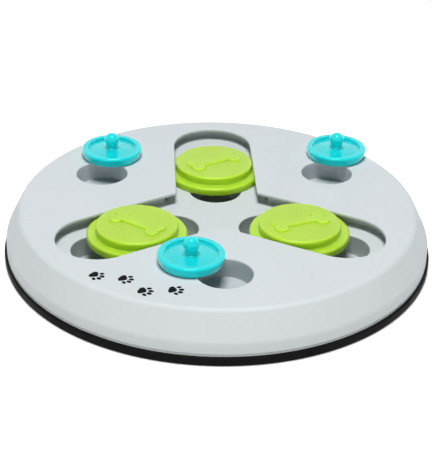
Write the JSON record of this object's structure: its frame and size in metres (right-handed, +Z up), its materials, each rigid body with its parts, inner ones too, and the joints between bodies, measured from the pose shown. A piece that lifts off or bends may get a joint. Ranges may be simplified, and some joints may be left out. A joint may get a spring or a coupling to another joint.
{
  "type": "pet puzzle board",
  "caption": "Round low pet puzzle board with a Y-shaped slot of captive sliding discs over treat wells, knobbed lids for further wells, and a rubber foot ring.",
  "frame": {"origin": "centre of the board on the surface that it stands on", "axes": "+Z up, +Y along the rear arm of the slot, -Y towards the picture's near side"},
  "size_m": [0.28, 0.28, 0.0497],
  "materials": {
    "cover_grey": "pale grey moulded plastic with a fine satin texture",
    "tray_grey": "pale grey moulded plastic, satin",
    "base_grey": "pale grey moulded plastic, matt",
    "ring_rubber": "black rubber, matt",
    "slider_green": "lime green moulded plastic, soft gloss",
    "lid_turquoise": "turquoise moulded plastic, gloss",
    "screw_steel": "zinc-plated steel"
  },
  "bodies": {
    "board": {"top_cover": "cover_grey", "slider_tray": "tray_grey", "base_plate": "base_grey", "foot_ring": "ring_rubber", "base_screws": "screw_steel", "tray_screws": "screw_steel"},
    "slider_rear": {"slider_rear": "slider_green"},
    "slider_left": {"slider_left": "slider_green"},
    "slider_right": {"slider_right": "slider_green"},
    "lid_rear_left": {"lid_rear_left": "lid_turquoise"},
    "lid_rear_right": {"lid_rear_right": "lid_turquoise"},
    "lid_front": {"lid_front": "lid_turquoise"}
  },
  "joints": [
    {"name": "slider_rear_slide", "type": "slide", "parent": "board", "child": "slider_rear", "axis": [0, 1, 0], "range_m": [-0.02103, 0.03007]},
    {"name": "slider_left_slide", "type": "slide", "parent": "board", "child": "slider_left", "axis": [-0.866, -0.5, 0], "range_m": [-0.02343, 0.02767]},
    {"name": "slider_right_slide", "type": "slide", "parent": "board", "child": "slider_right", "axis": [0.866, -0.5, 0], "range_m": [-0.0213, 0.0298]},
    {"name": "lid_rear_left_slide", "type": "slide", "parent": "board", "child": "lid_rear_left", "axis": [-0.2262, -0.9741, 0], "range_m": [0, 0.02767]},
    {"name": "lid_rear_right_slide", "type": "slide", "parent": "board", "child": "lid_rear_right", "axis": [-0.3327, -0.943, 0], "range_m": [0, 0.02886]},
    {"name": "lid_front_slide", "type": "slide", "parent": "board", "child": "lid_front", "axis": [0.8331, -0.5531, 0], "range_m": [0, 0.02369]}
  ]
}
